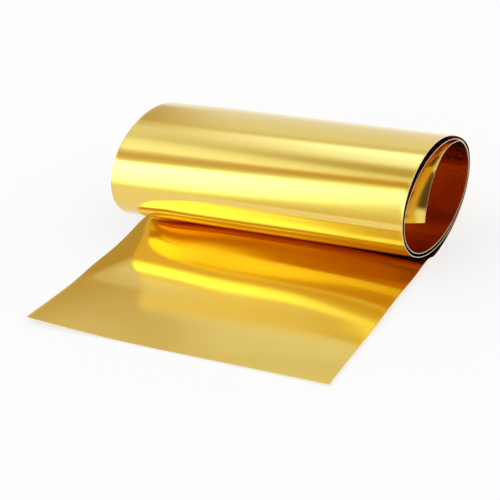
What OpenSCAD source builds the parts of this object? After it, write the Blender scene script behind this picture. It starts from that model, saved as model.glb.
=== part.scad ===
// Roll of brass sheet.
// One strip of thin sheet, wound two and three quarter times into a flattened, loosely sprung roll.
// Its outer end is let out flat on the floor, runs under the roll, and turns up at the back.
// Its inner end springs away from the front of the roll and stands free inside the bore.
// Millimetres. The roll lies along X, the flat outer end runs out towards -Y, and +Z is up.
// The origin is on the floor, under the middle of the space that the sheet takes up.

/* [Sheet] */
// Width of the sheet, which is also the length of the roll
sheet_w = 200; // [100:5:300]
// Thickness of the sheet
sheet_t = 0.3; // [0.15:0.05:0.4]
// Flat outer end, from its cut edge to where the sheet starts to lift
tail_len = 141; // [60:1:200]

/* [Flats of the oval] */
// Radius of the sheet where it leaves the floor
lift_r = 105; // [90:1:120]
// Radius where each turn lies flattest, over and under the roll
flat_r = 80; // [70:1:90]

/* [Bends of the oval, from the outside in] */
// Back of the outer turn
outer_back_r = 20.9; // [20.8:0.1:22.5]
// Front of the outer turn
outer_front_r = 20.7; // [19.5:0.1:20.8]
// Back of the middle turn
middle_back_r = 19; // [18.8:0.1:20]
// Front of the middle turn
middle_front_r = 17.9; // [17.9:0.1:18.6]
// Back of the inner turn
inner_back_r = 17.8; // [16:0.1:17.8]

/* [Inner end] */
// Radius at the foot of the inner end, where it peels off the front of the roll
peel_r = 40; // [25:1:55]
// Radius at the cut edge of the inner end
free_r = 32; // [20:1:45]

/* [Hidden] */
quarter = 90;
steps_per_quarter = 30;
step_turn = quarter / steps_per_quarter;

// The radius at the end of every quarter turn, from the floor to the cut edge of the inner end.
quarter_r = [
    lift_r, outer_back_r, flat_r, outer_front_r,
    flat_r, middle_back_r, flat_r, middle_front_r,
    flat_r, inner_back_r, peel_r, free_r
];
step_count = steps_per_quarter * (len(quarter_r) - 1);

// A quarter turn is a quarter of an ellipse: its radius runs from the one at its start to the one
// at its end, and blending their powers of -2/3 is what makes the curve an ellipse.
function blend_r(from_r, to_r, turned) =
    pow(pow(from_r, -2 / 3) * pow(cos(turned), 2) + pow(to_r, -2 / 3) * pow(sin(turned), 2), -3 / 2);

// Direction of the sheet after i steps: 0 is level towards +Y, and 90 is straight up.
function heading(i) = step_turn * i;

// Radius over the step that follows point i, taken at the middle of the step.
function step_r(i) =
    let (q = floor(i / steps_per_quarter))
    blend_r(quarter_r[q], quarter_r[q + 1], heading(i + 0.5) - quarter * q);

// Chord of that step, as [y, z].
function chord(i) =
    2 * step_r(i) * sin(step_turn / 2) * [cos(heading(i + 0.5)), sin(heading(i + 0.5))];

// The middle of the sheet's thickness at every step, as [y, z].
middle_line = [
    for (i = 0, p = [0, sheet_t / 2]; i <= step_count; p = i < step_count ? p + chord(i) : p, i = i + 1) p
];

// One face of the sheet: the middle line moved by a distance towards the inside of the turns.
function face_line(inward) =
    [for (i = [0 : step_count]) middle_line[i] + inward * [-sin(heading(i)), cos(heading(i))]];

function reversed(points) = [for (i = [len(points) - 1 : -1 : 0]) points[i]];

// The sheet seen from its end, out along the lower face and back along the upper one.
module section() {
    polygon(concat(
        [[-tail_len, 0]],
        face_line(-sheet_t / 2),
        reversed(face_line(sheet_t / 2)),
        [[-tail_len, sheet_t]]
    ));
}

// How far the back of the roll reaches from where the sheet starts to lift.
back_y = max([for (p = face_line(-sheet_t / 2)) p[0]]);

// The whole sheet: one piece from the outer cut edge to the inner one.
module brass_sheet() {
    color([0.86, 0.68, 0.28])
    translate([0, (tail_len - back_y) / 2, 0])
    rotate([90, 0, 90])
    linear_extrude(height = sheet_w, center = true)
    section();
}

brass_sheet();
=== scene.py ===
"""Roll of brass sheet: one thin strip, loosely wound, with its outer end let out on the floor."""

import logging
import math
from dataclasses import dataclass, field
from enum import Enum

import bpy
from mathutils import Matrix, Vector
from mathutils.kdtree import KDTree

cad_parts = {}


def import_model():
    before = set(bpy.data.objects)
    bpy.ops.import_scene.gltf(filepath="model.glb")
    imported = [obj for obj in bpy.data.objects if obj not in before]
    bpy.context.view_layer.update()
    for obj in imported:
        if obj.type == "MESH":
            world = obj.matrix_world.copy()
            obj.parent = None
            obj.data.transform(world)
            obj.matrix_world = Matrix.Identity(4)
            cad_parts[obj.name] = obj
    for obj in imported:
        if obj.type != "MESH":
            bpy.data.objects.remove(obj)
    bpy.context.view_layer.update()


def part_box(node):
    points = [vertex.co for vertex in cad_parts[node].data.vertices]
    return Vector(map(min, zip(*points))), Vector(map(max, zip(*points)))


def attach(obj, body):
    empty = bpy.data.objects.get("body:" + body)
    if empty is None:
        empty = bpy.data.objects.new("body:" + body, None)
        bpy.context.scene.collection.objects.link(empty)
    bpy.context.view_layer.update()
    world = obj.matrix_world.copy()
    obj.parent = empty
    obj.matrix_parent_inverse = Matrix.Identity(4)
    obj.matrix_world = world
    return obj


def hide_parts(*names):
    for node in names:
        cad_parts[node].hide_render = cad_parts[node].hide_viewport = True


LOG = logging.getLogger("brass_roll")
SHEET_NODE = "brass_sheet"
QUARTER = 90.0
LENGTH_ATTRIBUTE = "along_strip"
LIGHT_BOUNCES = 24
# Points closer than this, in metres, are in the same place.
SAME_PLACE = 1e-5
# How far the panels of light change along X, to either side of the middle of the set.
PANEL_REACH = 0.09

Color = tuple[float, float, float]
Socket = bpy.types.NodeSocket
Value = float | Color | Socket


class Blend(Enum):
    """How two colours are joined."""

    MIX = "MIX"
    MULTIPLY = "MULTIPLY"


def select_only(obj: bpy.types.Object) -> None:
    """Makes one object the active and only selected one.

    Args:
        obj: The object to work on.
    """
    bpy.ops.object.select_all(action="DESELECT")
    obj.select_set(True)
    bpy.context.view_layer.objects.active = obj


def smooth(value: float) -> float:
    """A smooth step as the value goes from 0 to 1."""
    value = min(max(value, 0.0), 1.0)
    return value * value * (3 - 2 * value)


def inward_at(heading: float) -> Vector:
    """The direction from the sheet, at a heading in degrees, towards the middle of its bend."""
    angle = math.radians(heading)
    return Vector((0, -math.sin(angle), math.cos(angle)))


@dataclass
class Wiring:
    """Adds and joins small shader nodes in one tree.

    Attributes:
        tree: The nodes of a material or of the world.
    """

    tree: bpy.types.NodeTree

    def feed(self, socket: Socket, value: Value) -> None:
        """Sets a socket to a number or a colour, or links it to another node's output.

        Args:
            socket: The input to fill.
            value: What goes into it.
        """
        if isinstance(value, Socket):
            self.tree.links.new(value, socket)
        elif isinstance(value, tuple) and len(socket.default_value) == 4:
            socket.default_value = (*value, 1.0)
        else:
            socket.default_value = value

    def add(self, kind: str, **settings: object) -> bpy.types.Node:
        """Adds a node.

        Args:
            kind: Its type, without the first word.
            settings: Its settings by name.

        Returns:
            The node.
        """
        node = self.tree.nodes.new("ShaderNode" + kind)
        for name, value in settings.items():
            setattr(node, name, value)
        return node

    def math(self, operation: str, *values: Value) -> Socket:
        """Adds one Math node.

        Args:
            operation: What it works out.
            values: What it works on.

        Returns:
            Its result.
        """
        node = self.add("Math", operation=operation)
        for socket, value in zip(node.inputs, values):
            self.feed(socket, value)
        return node.outputs[0]

    def clamp(self, value: Value, low: float, high: float) -> Socket:
        """A value kept between two limits."""
        return self.math("MINIMUM", self.math("MAXIMUM", value, low), high)

    def step(self, value: Value, low: float, high: float,
             start: float = 0.0, end: float = 1.0) -> Socket:
        """A smooth step.

        Args:
            value: What the step follows.
            low: The value at which it starts.
            high: The value at which it ends.
            start: The result up to there.
            end: The result from there on.

        Returns:
            The result.
        """
        node = self.add("MapRange", interpolation_type="SMOOTHSTEP")
        for name, given in (("Value", value), ("From Min", low), ("From Max", high),
                            ("To Min", start), ("To Max", end)):
            self.feed(node.inputs[name], given)
        return node.outputs[0]

    def mix(self, first: Value, second: Value, factor: Value, blend: Blend = Blend.MIX) -> Socket:
        """Joins two colours.

        Args:
            first: The colour below.
            second: The colour on it.
            factor: How much of the second one shows.
            blend: How it is laid on.

        Returns:
            The joined colour.
        """
        node = self.add("Mix", data_type="RGBA", blend_type=blend.value)
        for socket, value in zip((node.inputs[0], node.inputs[6], node.inputs[7]),
                                 (factor, first, second)):
            self.feed(socket, value)
        return node.outputs[2]

    def noise(self, place: Value, scale: float, detail: float = 3.0,
              roughness: float = 0.6) -> Socket:
        """Adds a noise.

        Args:
            place: Where it is read.
            scale: How fine it is.
            detail: How many finer layers it has.
            roughness: How strong they are.

        Returns:
            Its value.
        """
        node = self.add("TexNoise")
        for name, value in (("Vector", place), ("Scale", scale), ("Detail", detail),
                            ("Roughness", roughness)):
            self.feed(node.inputs[name], value)
        return node.outputs["Fac"]

    def vector(self, *parts: Value) -> Socket:
        """Joins three values.

        Args:
            parts: The X, Y and Z part.

        Returns:
            The vector.
        """
        node = self.add("CombineXYZ")
        for socket, value in zip(node.inputs, parts):
            self.feed(socket, value)
        return node.outputs[0]


def new_finish(name: str) -> tuple[bpy.types.Material, Wiring, bpy.types.Node]:
    """Starts a material.

    Args:
        name: Its name.

    Returns:
        The material, its wiring and its shader.
    """
    made = bpy.data.materials.new(name)
    made.use_nodes = True
    return made, Wiring(made.node_tree), made.node_tree.nodes["Principled BSDF"]


@dataclass
class Winding:
    """The path of the sheet, seen from its end: the same quarter ellipses as in the solid.

    Attributes:
        quarter_radii: Radius at the end of each quarter turn, in metres.
        steps_per_quarter: Straight steps that stand for a quarter turn.
    """

    quarter_radii: tuple[float, ...] = (
        0.105, 0.0209, 0.080, 0.0207,
        0.080, 0.0190, 0.080, 0.0179,
        0.080, 0.0178, 0.040, 0.032,
    )
    steps_per_quarter: int = 45

    @property
    def step_turn(self) -> float:
        """Degrees that the sheet turns in one step."""
        return QUARTER / self.steps_per_quarter

    @property
    def step_count(self) -> int:
        """Steps from the floor to the inner cut edge."""
        return self.steps_per_quarter * (len(self.quarter_radii) - 1)

    def heading(self, step: int) -> float:
        """Degrees that the sheet has turned before a step."""
        return step * self.step_turn

    def radius(self, step: int) -> float:
        """Radius of the sheet at the middle of a step, by the rule for the bend of an ellipse.

        Args:
            step: Number of the step, from 0 at the floor.

        Returns:
            The radius in metres.
        """
        quarter, within = divmod(step, self.steps_per_quarter)
        turned = math.radians((within + 0.5) * self.step_turn)
        start, end = self.quarter_radii[quarter], self.quarter_radii[quarter + 1]
        blend = start ** (-2 / 3) * math.cos(turned) ** 2 + end ** (-2 / 3) * math.sin(turned) ** 2
        return blend ** (-3 / 2)

    def chord(self, step: int) -> Vector:
        """The straight line that one step takes.

        Args:
            step: Number of the step.

        Returns:
            The line, in the YZ plane.
        """
        length = 2 * self.radius(step) * math.sin(math.radians(self.step_turn) / 2)
        heading = math.radians((step + 0.5) * self.step_turn)
        return Vector((0, length * math.cos(heading), length * math.sin(heading)))

    def points(self, start: Vector) -> list[Vector]:
        """The points between the steps.

        Args:
            start: Where the sheet leaves the floor.

        Returns:
            One point more than there are steps.
        """
        path = [start.copy()]
        for step in range(self.step_count):
            path.append(path[-1] + self.chord(step))
        return path


@dataclass(frozen=True)
class Swell:
    """A low oval swell of the let-out end, where the springy sheet doesn't lie quite flat.

    Attributes:
        across: Middle of the swell along X.
        back: Middle of the swell behind the line where the sheet lifts off the floor, so mostly
            below 0.
        reach_across: Half its length along X.
        reach_back: Half its length along Y.
        height: Height at its middle, below 0 for a hollow.
    """

    across: float
    back: float
    reach_across: float
    reach_back: float
    height: float

    def rise(self, across: float, back: float) -> float:
        """How far it lifts the sheet at a point.

        Args:
            across: The point's X.
            back: The point's place behind the lift line.

        Returns:
            The height, which falls off smoothly to nothing at the edge of the swell.
        """
        away = ((across - self.across) / self.reach_across) ** 2
        away += ((back - self.back) / self.reach_back) ** 2
        return self.height * max(0.0, 1 - away) ** 3


SWELLS = (
    Swell(-0.0940, -0.0445, 0.2200, 0.0610, 0.00425),
    Swell(-0.1700, -0.1705, 0.1815, 0.1130, 0.00720),
    Swell(0.0930, -0.1220, 0.1775, 0.0425, 0.00125),
    Swell(0.0615, -0.0585, 0.1585, 0.0770, 0.00230),
    Swell(-0.1220, -0.0445, 0.0530, 0.0545, -0.00695),
    Swell(0.0060, -0.0095, 0.2200, 0.0330, 0.00390),
    Swell(0.0565, -0.0405, 0.0935, 0.0600, 0.00135),
    Swell(-0.0565, -0.0250, 0.1380, 0.0355, 0.00125),
)


@dataclass(frozen=True)
class Sag:
    """A stretch of a turn that sinks a little towards the right end of the roll.

    Attributes:
        starts: Heading of the sheet where it starts to sink, in degrees.
        deepest: Heading where it has sunk furthest.
        ends: Heading where it is back in its place.
        depth: How far it sinks at the right end.
        left_x: X at which it starts.
        right_x: X of the right end.
    """

    starts: float
    deepest: float
    ends: float
    depth: float
    left_x: float = -0.060
    right_x: float = 0.100

    def shift(self, across: float, heading: float) -> Vector:
        """How far a point moves from the even bend of the solid.

        Args:
            across: The point's X.
            heading: Heading of the sheet at the point.

        Returns:
            The move.
        """
        up = smooth((heading - self.starts) / (self.deepest - self.starts))
        down = smooth((self.ends - heading) / (self.ends - self.deepest))
        along = max(0.0, (across - self.left_x) / (self.right_x - self.left_x))
        return inward_at(heading) * (self.depth * min(up, down) * along)


SAGS = (
    Sag(starts=105, deepest=150, ends=190, depth=0.0021),
    Sag(starts=480, deepest=548, ends=615, depth=0.0015),
)


@dataclass(frozen=True)
class InnerEnd:
    """The free inner end of the sheet: it leans out to the front and its right border curls in.

    Attributes:
        starts: Heading at which the lean starts, in degrees.
        ends: Heading at the cut edge.
        lean: How far the cut edge leans out.
        lift: How far the cut edge is drawn up with it.
        curl_starts: Heading at which the curled border starts.
        curl_full: Degrees further on at which the curl has its full angle.
        curl_width: Width of the curled border at the cut edge.
        curl_least: Share of that width that it has where it starts.
        curl_bend: Width of the bend that leads into it.
        curl_angle: Angle of the curl.
        right_x: X of the border's edge.
    """

    starts: float = 922.0
    ends: float = 990.0
    lean: float = 0.0072
    lift: float = 0.0034
    curl_starts: float = 862.0
    curl_full: float = 25.0
    curl_width: float = 0.0215
    curl_least: float = 0.32
    curl_bend: float = 0.0080
    curl_angle: float = 17.5
    right_x: float = 0.100

    def shift(self, across: float, heading: float) -> Vector:
        """How far a point moves from the even bend of the solid.

        Args:
            across: The point's X.
            heading: Heading of the sheet at the point.

        Returns:
            The move.
        """
        leant = max(0.0, (heading - self.starts) / (self.ends - self.starts)) ** 2
        curl = self.curl(across, heading)
        return inward_at(heading) * (curl - self.lean * leant) + Vector((0, 0, self.lift * leant ** 2))

    def curl(self, across: float, heading: float) -> float:
        """How far the curled border is drawn in at a point.

        Args:
            across: The point's X.
            heading: Heading of the sheet at the point.

        Returns:
            The distance: a bend and then a straight border.
        """
        along = max(0.0, (heading - self.curl_starts) / (self.ends - self.curl_starts))
        width = self.curl_width * (self.curl_least + (1 - self.curl_least) * along ** 2)
        reach = max(0.0, across - self.right_x + width)
        bent = min(reach, self.curl_bend)
        slope = math.tan(math.radians(self.curl_angle))
        drawn_in = slope * (bent ** 2 / (2 * self.curl_bend) + reach - bent)
        return drawn_in * smooth((heading - self.curl_starts) / self.curl_full)


@dataclass(frozen=True)
class RolledBrass:
    """Bright rolled brass, as the sheet leaves the mill.

    The rollers leave a fine grain along the strip, so the gloss is spread across it, along X.

    Attributes:
        name: Of the material.
        color: Clean brass.
        dulled: Brass under haze and wear.
        roller_line: Tint of the lines that the rollers leave.
        roughness: Of the clean metal.
        grain_spread: How much wider the gloss is across the grain.
        grain_height: Height of the grain.
        grain_fineness: Scale of the grain along the strip.
        grain_draw: How much finer it is across the strip.
        grain_shown: Grain from none to full tint.
        haze_fineness: Scale of the haze.
        haze_shown: Haze from none to full.
        haze_dulling: How much the full haze dulls.
        haze_roughness: How far the haze moves the roughness.
        wear: How much the rubbed edges dull.
        wear_fineness: Scale of the breaks in the wear.
        wear_reach: How far from an edge the wear can reach.
        wear_fade: Distances past that between which it dies out.
        wear_roughness: Roughness that full wear would add.
        half_width: Half the width of the strip.
    """

    name: str = "rolled_brass"
    color: Color = (0.88, 0.63, 0.15)
    dulled: Color = (0.84, 0.57, 0.13)
    roller_line: Color = (0.965, 0.955, 0.93)
    roughness: float = 0.12
    grain_spread: float = 0.75
    grain_height: float = 0.000002
    grain_fineness: float = 40.0
    grain_draw: float = 60.0
    grain_shown: tuple[float, float] = (0.5, 0.8)
    haze_fineness: float = 22.0
    haze_shown: tuple[float, float] = (0.45, 0.75)
    haze_dulling: float = 0.35
    haze_roughness: float = 0.05
    wear: float = 0.7
    wear_fineness: float = 90.0
    wear_reach: float = 0.0024
    wear_fade: tuple[float, float] = (-0.0008, 0.0004)
    wear_roughness: float = 0.12
    half_width: float = 0.100

    def material(self) -> bpy.types.Material:
        """Builds the finish.

        Returns:
            The material.
        """
        made, wiring, shader = new_finish(self.name)
        shader.inputs["Metallic"].default_value = 1.0
        shader.inputs["Anisotropic"].default_value = self.grain_spread
        axes = wiring.add("SeparateXYZ")
        wiring.feed(axes.inputs[0], wiring.add("TexCoord").outputs["Object"])
        across = axes.outputs["X"]
        along = wiring.add("Attribute", attribute_name=LENGTH_ATTRIBUTE).outputs["Fac"]
        on_strip = wiring.vector(across, along, 0.0)
        drawn = wiring.vector(wiring.math("MULTIPLY", across, self.grain_draw), along, 0.0)
        grain = wiring.noise(drawn, self.grain_fineness, detail=4.0, roughness=0.5)
        haze = wiring.noise(on_strip, self.haze_fineness)
        wear = self.edge_wear(wiring, across, on_strip)
        dull = wiring.math("MULTIPLY", wiring.step(haze, *self.haze_shown), self.haze_dulling)
        dull = wiring.math("MAXIMUM", dull, wear)
        brass = wiring.mix(self.color, self.dulled, dull)
        lines = wiring.step(grain, *self.grain_shown)
        brass = wiring.mix(brass, self.roller_line, lines, Blend.MULTIPLY)
        wiring.feed(shader.inputs["Base Color"], brass)
        uneven = wiring.math("SUBTRACT", haze, 0.5)
        rough = wiring.math("MULTIPLY_ADD", uneven, self.haze_roughness, self.roughness)
        rough = wiring.math("MULTIPLY_ADD", wear, self.wear_roughness, rough)
        wiring.feed(shader.inputs["Roughness"], rough)
        bump = wiring.add("Bump")
        bump.inputs["Distance"].default_value = self.grain_height
        wiring.feed(bump.inputs["Height"], grain)
        wiring.feed(shader.inputs["Normal"], bump.outputs["Normal"])
        wiring.feed(shader.inputs["Tangent"], wiring.vector(1.0, 0.0, 0.0))
        return made

    def edge_wear(self, wiring: Wiring, across: Value, on_strip: Value) -> Socket:
        """A dull, broken line of rubbed metal beside the two long cut edges.

        Args:
            wiring: The material's nodes.
            across: Place across the strip.
            on_strip: Place across and along it.

        Returns:
            How worn the metal is there.
        """
        to_edge = wiring.math("SUBTRACT", self.half_width, wiring.math("ABSOLUTE", across))
        broken = wiring.noise(on_strip, self.wear_fineness)
        past = wiring.math("SUBTRACT", to_edge, wiring.math("MULTIPLY", broken, self.wear_reach))
        return wiring.step(past, *self.wear_fade, self.wear, 0.0)


@dataclass(frozen=True)
class ShearedEdge:
    """The cut edge of the strip, pale and matt from the shears.

    Attributes:
        name: Of the material.
        color: Cut brass.
        bruised: Brass where the shears bruised it.
        roughness: Of the cut, on the whole.
        bite_fineness: Scale of the marks of the shears.
        bite_shown: Marks from none to full.
        bite_roughness: How far the marks move the roughness.
    """

    name: str = "sheared_edge"
    color: Color = (1.0, 0.88, 0.62)
    bruised: Color = (0.88, 0.70, 0.42)
    roughness: float = 0.30
    bite_fineness: float = 700.0
    bite_shown: tuple[float, float] = (0.45, 0.7)
    bite_roughness: float = 0.2

    def material(self) -> bpy.types.Material:
        """Builds the finish.

        Returns:
            The material.
        """
        made, wiring, shader = new_finish(self.name)
        shader.inputs["Metallic"].default_value = 1.0
        bite = wiring.noise(wiring.add("TexCoord").outputs["Object"], self.bite_fineness)
        cut = wiring.mix(self.color, self.bruised, wiring.step(bite, *self.bite_shown))
        wiring.feed(shader.inputs["Base Color"], cut)
        uneven = wiring.math("SUBTRACT", bite, 0.5)
        rough = wiring.math("MULTIPLY_ADD", uneven, self.bite_roughness, self.roughness)
        wiring.feed(shader.inputs["Roughness"], rough)
        return made


@dataclass
class BrassSheet:
    """The strip of brass, from its outer cut edge on the floor to its inner one in the bore.

    Attributes:
        width: Across the strip, along X.
        thickness: Of the metal.
        burr: Thickness at the two long edges.
        settle: Length over which the swells die out in front of the lift line.
        tail: Length before the strip lifts off the floor.
        columns: Faces across the strip.
        crowding: How much closer the columns stand near the two long edges.
        tail_rows: Faces along the let-out end.
        sharp_angle: Degrees above which an edge stays sharp.
        swells: Where the let-out end stands off the floor.
        sags: Where the turns sink towards the right end.
        inner_end: How the free inner end hangs.
        winding: The path of the rest.
        finish: Finish of the two faces.
        edge: Finish of the cut edges.
    """

    width: float = 0.200
    thickness: float = 0.0003
    burr: float = 0.00036
    settle: float = 0.010
    tail: float = 0.141
    columns: int = 64
    crowding: float = 0.25
    tail_rows: int = 94
    sharp_angle: float = 30.0
    swells: tuple[Swell, ...] = SWELLS
    sags: tuple[Sag, ...] = SAGS
    inner_end: InnerEnd = field(default_factory=InnerEnd)
    winding: Winding = field(default_factory=Winding)
    finish: RolledBrass = field(default_factory=RolledBrass)
    edge: ShearedEdge = field(default_factory=ShearedEdge)

    def build(self) -> bpy.types.Object:
        """Models, dresses and places the sheet.

        Returns:
            The finished piece.
        """
        low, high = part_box(SHEET_NODE)
        lift = Vector((0, low.y + self.tail, self.thickness / 2))
        sheet = self.let_out_end(low.y, lift)
        self.wind(lift)
        bpy.ops.object.mode_set(mode="OBJECT")
        headings = self.measure(sheet, lift)
        self.loosen(sheet, headings, lift.y)
        sheet.data.materials.append(self.finish.material())
        sheet.data.materials.append(self.edge.material())
        self.give_thickness(sheet)
        self.keep_inside(sheet, low, high)
        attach(sheet, "root")
        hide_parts(SHEET_NODE)
        return sheet

    def let_out_end(self, front_y: float, lift: Vector) -> bpy.types.Object:
        """Lays the outer end on the floor, and leaves its back edge selected in edit mode.

        Args:
            front_y: Y of the outer cut edge.
            lift: Where the sheet leaves the floor.

        Returns:
            The sheet so far, still without thickness.
        """
        bpy.ops.object.select_all(action="DESELECT")
        bpy.ops.mesh.primitive_grid_add(
            x_subdivisions=self.columns, y_subdivisions=self.tail_rows, size=1,
            location=(0, (front_y + lift.y) / 2, lift.z),
        )
        sheet = bpy.context.object
        sheet.name = sheet.data.name = "brass_strip"
        sheet.scale = (self.width, self.tail, 1)
        bpy.ops.object.transform_apply(location=True, rotation=True, scale=True)
        for vertex in sheet.data.vertices:
            part = 2 * vertex.co.x / self.width
            crowded = (1 + self.crowding) * part - self.crowding * part ** 3
            vertex.co.x = self.width / 2 * crowded
            vertex.select = vertex.co.y > lift.y - SAME_PLACE
        for edge in sheet.data.edges:
            edge.select = all(sheet.data.vertices[v].select for v in edge.vertices)
        for face in sheet.data.polygons:
            face.select = False
        bpy.ops.object.mode_set(mode="EDIT")
        bpy.ops.mesh.select_mode(type="EDGE")
        return sheet

    def wind(self, start: Vector) -> None:
        """Spins the selected edge on, a step at a time, into the turns of the roll.

        Args:
            start: Where the sheet leaves the floor.
        """
        for step, at in enumerate(self.winding.points(start)[:-1]):
            inward = inward_at(self.winding.heading(step))
            bpy.ops.mesh.spin(
                steps=1, angle=-math.radians(self.winding.step_turn),
                center=at + inward * self.winding.radius(step), axis=(1, 0, 0),
            )

    def measure(self, sheet: bpy.types.Object, lift: Vector) -> list[float]:
        """Stores how far along the strip each point lies, for the grain of the finish.

        Args:
            sheet: The wound surface.
            lift: Where the sheet leaves the floor.

        Returns:
            The heading of the sheet at each point, which is below 0 on the let-out end.
        """
        path = self.winding.points(lift)
        tree = KDTree(len(path))
        reached, lengths = 0.0, []
        for index, point in enumerate(path):
            reached += (point - path[index - 1]).length if index else 0.0
            lengths.append(reached)
            tree.insert(point, index)
        tree.balance()
        stored = sheet.data.attributes.new(LENGTH_ATTRIBUTE, "FLOAT", "POINT").data
        headings = []
        for vertex in sheet.data.vertices:
            _point, index, away = tree.find((0, vertex.co.y, vertex.co.z))
            on_path = away < SAME_PLACE
            stored[vertex.index].value = lengths[index] if on_path else vertex.co.y - lift.y
            headings.append(self.winding.heading(index) if on_path else -1.0)
        return headings

    def loosen(self, sheet: bpy.types.Object, headings: list[float], lift_y: float) -> None:
        """Moves the points to where the real, springy sheet departs from the even section.

        Args:
            sheet: The wound surface.
            headings: The heading at each point, below 0 on the let-out end.
            lift_y: Y of the line where the sheet lifts off the floor.
        """
        for vertex, heading in zip(sheet.data.vertices, headings):
            across = vertex.co.x
            if heading < 0:
                back = vertex.co.y - lift_y
                rise = sum(swell.rise(across, back) for swell in self.swells)
                vertex.co.z += max(0.0, rise) * smooth(-back / self.settle)
                continue
            for sag in self.sags:
                vertex.co += sag.shift(across, heading)
            if heading > self.inner_end.curl_starts:
                vertex.co += self.inner_end.shift(across, heading)

    def give_thickness(self, sheet: bpy.types.Object) -> None:
        """Turns the drawn surface into metal of its thickness, with smooth faces.

        The shears leave a burr, so the two long edges end a little thicker than the sheet.

        Args:
            sheet: The wound surface.
        """
        burr = sheet.vertex_groups.new(name="burr")
        border = self.width / 2 - SAME_PLACE
        body = [v.index for v in sheet.data.vertices if abs(v.co.x) < border]
        ends = [v.index for v in sheet.data.vertices if abs(v.co.x) >= border]
        burr.add(body, self.thickness / self.burr, "REPLACE")
        burr.add(ends, 1.0, "REPLACE")
        select_only(sheet)
        bpy.ops.object.modifier_add(type="SOLIDIFY")
        solidify = sheet.modifiers[-1]
        solidify.thickness = self.burr
        solidify.vertex_group = burr.name
        solidify.offset = 0
        solidify.material_offset_rim = 1
        bpy.ops.object.modifier_apply(modifier=solidify.name)
        sheet.vertex_groups.clear()
        bpy.ops.object.shade_smooth_by_angle(angle=math.radians(self.sharp_angle))

    def keep_inside(self, sheet: bpy.types.Object, low: Vector, high: Vector) -> None:
        """Holds every point inside the box of the solid.

        Args:
            sheet: The finished sheet.
            low: The box's lowest corner.
            high: Its highest corner.
        """
        for vertex in sheet.data.vertices:
            for axis in range(3):
                vertex.co[axis] = min(max(vertex.co[axis], low[axis]), high[axis])


@dataclass
class Camera:
    """A camera where the photograph's was, turned about its own axis as that one was.

    Angles are in degrees and lengths in metres.

    Attributes:
        azimuth: From the front round towards the right end.
        elevation: Above the floor.
        roll: Turn about its own axis.
        distance: From the point that it stands round.
        shift_right: How far it is moved to its own right.
        shift_up: How far it is moved to its own top.
        focal_pixels: Focal length, in pixels of the photograph.
        picture_pixels: Width of the photograph, in pixels.
        aim_y: Y of the point that it stands round, which is on the floor in the middle.
        near: Distance from which it sees.
    """

    azimuth: float = 33.57
    elevation: float = 28.78
    roll: float = -8.51
    distance: float = 0.8608
    shift_right: float = -0.0238
    shift_up: float = -0.0108
    focal_pixels: float = 1364.9
    picture_pixels: float = 500.0
    aim_y: float = 0.03977
    near: float = 0.01

    def place(self) -> None:
        """Makes the camera and sets it as the scene's."""
        az, el, roll = (math.radians(v) for v in (self.azimuth, self.elevation, self.roll))
        back = Vector((math.sin(az) * math.cos(el), -math.cos(az) * math.cos(el), math.sin(el)))
        level = Vector((math.cos(az), math.sin(az), 0))
        above = back.cross(level)
        right = math.cos(roll) * level + math.sin(roll) * above
        up = -math.sin(roll) * level + math.cos(roll) * above
        spot = back * self.distance + self.shift_right * right + self.shift_up * up
        spot.y += self.aim_y
        data = bpy.data.cameras.new("photo_camera")
        data.lens = self.focal_pixels / self.picture_pixels * data.sensor_width
        data.clip_start = self.near
        camera = bpy.data.objects.new("photo_camera", data)
        bpy.context.scene.collection.objects.link(camera)
        turned = Matrix((right, up, back)).transposed().to_4x4()
        camera.matrix_world = Matrix.Translation(spot) @ turned
        bpy.context.scene.camera = camera


@dataclass(frozen=True)
class Panel:
    """A soft box, or a dark flag, by the directions that it fills round the roll's axis.

    Angles are in degrees: 0 is level behind the roll, 90 is overhead and 180 is level in front.

    Attributes:
        low: Angle of its lower edge.
        high: Angle of its upper edge.
        color: Light from its lower edge.
        far_color: Light from its upper edge, where it isn't the same.
        low_lean: How far the lower edge moves for each unit along X.
        high_lean: The same for the upper edge.
        low_soft: Width of the lower edge's fall-off.
        high_soft: The same for the upper edge.
        left: How much of it shows at the left end of its length.
        right: How much of it shows at the right end.
    """

    low: float
    high: float
    color: Color
    far_color: Color | None = None
    low_lean: float = 0.0
    high_lean: float = 0.0
    low_soft: float = 6.0
    high_soft: float = 8.0
    left: float = 1.0
    right: float = 1.0

    def over(self, wiring: Wiring, behind: Value, about: Value, along: Value) -> Socket:
        """Puts the panel in front of what is behind it.

        Args:
            wiring: The world's nodes.
            behind: Light from behind the panel.
            about: Direction about the roll's axis.
            along: Direction along it.

        Returns:
            The light with the panel in it.
        """
        low = wiring.math("MULTIPLY_ADD", along, -self.low_lean, about)
        high = wiring.math("MULTIPLY_ADD", along, -self.high_lean, about)
        shown = wiring.math(
            "MULTIPLY",
            wiring.step(low, self.low - self.low_soft / 2, self.low + self.low_soft / 2),
            wiring.step(high, self.high - self.high_soft / 2, self.high + self.high_soft / 2, 1.0, 0.0),
        )
        amount = wiring.step(along, -PANEL_REACH, PANEL_REACH, self.left, self.right)
        light = self.color
        if self.far_color:
            light = wiring.mix(self.color, self.far_color, wiring.step(low, self.low, self.high))
        return wiring.mix(behind, light, wiring.math("MULTIPLY", shown, amount))


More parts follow.
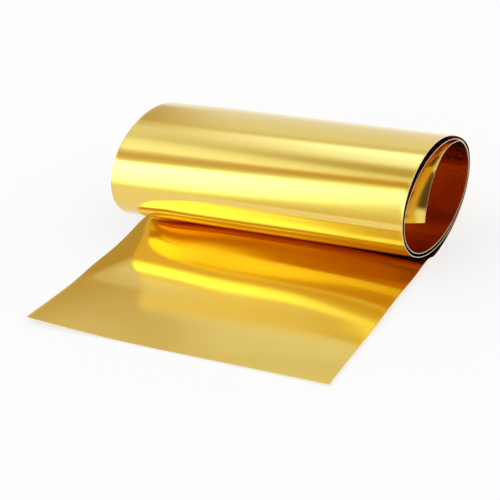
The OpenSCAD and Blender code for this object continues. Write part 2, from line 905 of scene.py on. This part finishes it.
PANELS = (
    Panel(41, 45.5, (0.80, 0.90, 0.98), low_lean=-30, low_soft=3, high_soft=3),
    Panel(48, 64, (1.7, 2.2, 4.0), (1.2, 1.6, 2.6), high_lean=38, low_soft=5, left=0.02),
    Panel(70, 84, (0.60, 0.60, 0.38), (0.53, 0.47, 0.15), high_lean=45, low_soft=7, left=0.0),
    Panel(77, 92, (1.1, 1.4, 1.85), (1.45, 1.7, 2.2), low_lean=63, low_soft=7.5, high_soft=5,
          left=0.85, right=0.65),
    Panel(93, 111, (0.60, 0.40, 0.01), (0.70, 0.52, 0.07), low_lean=-59, high_lean=-73,
          low_soft=7, high_soft=4, left=0.72),
    Panel(108.5, 159, (2.4, 4.2, 5.6), (2.2, 3.7, 3.6), low_lean=-98, high_lean=-370,
          low_soft=9, high_soft=9, right=0.4),
    Panel(155, 200, (0.88, 0.92, 0.74), (0.82, 0.74, 0.40), low_lean=-180, low_soft=8.5,
          left=0.72),
)


@dataclass
class Studio:
    """A plain pale floor under soft boxes.

    Angles are in degrees, as for a panel, and places along X are parts of a direction.

    Attributes:
        plain: Light on all that isn't glossy.
        ambient: Light between the panels.
        wall: Light from a warm wall past the left end.
        wall_edge: Where the wall ends, along X.
        wall_soft: Width of the wall's fall-off there.
        wall_foot: Angles between which the wall comes in.
        wall_top: Angles between which it dies out.
        end_light: Light past the right end.
        end_flag: A dark flag in it.
        flag_from: Angle of the flag's lower edge.
        flag_to: Angle of its upper edge.
        flag_soft: Width of its fall-offs.
        past_end: Where the light past the right end comes in, along X.
        exposure_tint: Tint and strength of all but the light past the right end.
        middle: Middle of the panels, along X.
        panels: The soft boxes and flags.
        floor_size: Length of the floor's sides.
        floor_gap: How far the floor lies below the sheet.
        floor_color: Of the floor.
        floor_roughness: Of the floor.
        floor_glow: How far the floor is seen as white.
    """

    plain: Color = (1.0, 1.0, 1.0)
    ambient: Color = (0.90, 1.05, 1.32)
    wall: Color = (0.55, 0.44, 0.17)
    wall_edge: float = -0.54
    wall_soft: float = 0.07
    wall_foot: tuple[float, float] = (1.0, 9.0)
    wall_top: tuple[float, float] = (43.0, 55.0)
    end_light: Color = (1.00, 1.05, 1.00)
    end_flag: Color = (0.10, 0.06, 0.04)
    flag_from: float = 95.0
    flag_to: float = 149.0
    flag_soft: float = 8.0
    past_end: tuple[float, float] = (-0.30, -0.10)
    exposure_tint: Color = (0.96, 0.87, 0.74)
    middle: float = -0.48
    panels: tuple[Panel, ...] = PANELS
    floor_size: float = 8.0
    floor_gap: float = 0.0002
    floor_color: Color = (0.95, 0.95, 0.95)
    floor_roughness: float = 0.8
    floor_glow: float = 0.65

    def build(self) -> None:
        """Makes the floor and the light."""
        self.floor()
        self.world()

    def floor(self) -> None:
        """Lays the floor, which shows white but keeps a faint shadow."""
        bpy.ops.object.select_all(action="DESELECT")
        bpy.ops.mesh.primitive_plane_add(size=self.floor_size, location=(0, 0, -self.floor_gap))
        floor = bpy.context.object
        floor.name = "floor"
        made, wiring, shader = new_finish("pale_floor")
        wiring.feed(shader.inputs["Base Color"], self.floor_color)
        shader.inputs["Roughness"].default_value = self.floor_roughness
        shader.inputs["Specular IOR Level"].default_value = 0.0
        glow = wiring.add("Emission")
        both = wiring.add("MixShader")
        wiring.feed(both.inputs[0], wiring.math("MULTIPLY", self.seen(wiring), self.floor_glow))
        wiring.feed(both.inputs[1], shader.outputs[0])
        wiring.feed(both.inputs[2], glow.outputs[0])
        wiring.feed(made.node_tree.nodes["Material Output"].inputs["Surface"], both.outputs[0])
        floor.data.materials.append(made)

    @staticmethod
    def seen(wiring: Wiring) -> Socket:
        """1 for what the camera sees, directly or in the metal."""
        path = wiring.add("LightPath")
        return wiring.math("MAXIMUM", path.outputs["Is Camera Ray"], path.outputs["Is Glossy Ray"])

    def right_end(self, wiring: Wiring, about: Value) -> Socket:
        """The light past the right end of the roll: pale, with a dark flag between top and front.

        Args:
            wiring: The world's nodes.
            about: Direction about the roll's axis.

        Returns:
            The light.
        """
        low, high, soft = self.flag_from, self.flag_to, self.flag_soft / 2
        flag = wiring.math("MULTIPLY", wiring.step(about, low - soft, low + soft),
                           wiring.step(about, high - soft, high + soft, 1.0, 0.0))
        return wiring.mix(self.end_light, self.end_flag, flag)

    def by_wall(self, wiring: Wiring, across: Value, about: Value) -> Socket:
        """How much of the wall past the left end shows.

        Args:
            wiring: The world's nodes.
            across: Direction along X.
            about: Direction about the roll's axis.

        Returns:
            The share of the wall.
        """
        soft = self.wall_soft / 2
        shown = wiring.step(across, self.wall_edge - soft, self.wall_edge + soft, 1.0, 0.0)
        shown = wiring.math("MULTIPLY", shown, wiring.step(about, *self.wall_foot))
        return wiring.math("MULTIPLY", shown, wiring.step(about, *self.wall_top, 1.0, 0.0))

    def world(self) -> None:
        """Lights the set with the soft boxes and flags round it."""
        world = bpy.data.worlds.new("studio")
        bpy.context.scene.world = world
        world.use_nodes = True
        wiring = Wiring(world.node_tree)
        axes = wiring.add("SeparateXYZ")
        wiring.feed(axes.inputs[0], wiring.add("TexCoord").outputs["Generated"])
        across = axes.outputs["X"]
        about = wiring.math("DEGREES", wiring.math("ARCTAN2", axes.outputs["Z"], axes.outputs["Y"]))
        along = wiring.math("SUBTRACT", across, self.middle)
        along = wiring.clamp(along, -PANEL_REACH, PANEL_REACH)
        light = wiring.mix(self.ambient, self.wall, self.by_wall(wiring, across, about))
        for panel in self.panels:
            light = panel.over(wiring, light, about, along)
        light = wiring.mix(light, self.exposure_tint, 1.0, Blend.MULTIPLY)
        end = self.right_end(wiring, about)
        light = wiring.mix(light, end, wiring.step(across, *self.past_end))
        glossy = wiring.add("LightPath").outputs["Is Glossy Ray"]
        light = wiring.mix(self.plain, light, glossy)
        wiring.feed(world.node_tree.nodes["Background"].inputs["Color"], light)


def main() -> None:
    """Builds the sheet and its studio in order."""
    logging.basicConfig(level=logging.INFO, format="%(name)s: %(message)s")
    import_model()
    sheet = BrassSheet().build()
    LOG.info("%s: %d faces", sheet.name, len(sheet.data.polygons))
    Studio().build()
    Camera().place()
    scene = bpy.context.scene
    scene.view_settings.view_transform = "Standard"
    scene.cycles.max_bounces = LIGHT_BOUNCES
    scene.cycles.glossy_bounces = LIGHT_BOUNCES


if __name__ == "__main__":
    main()
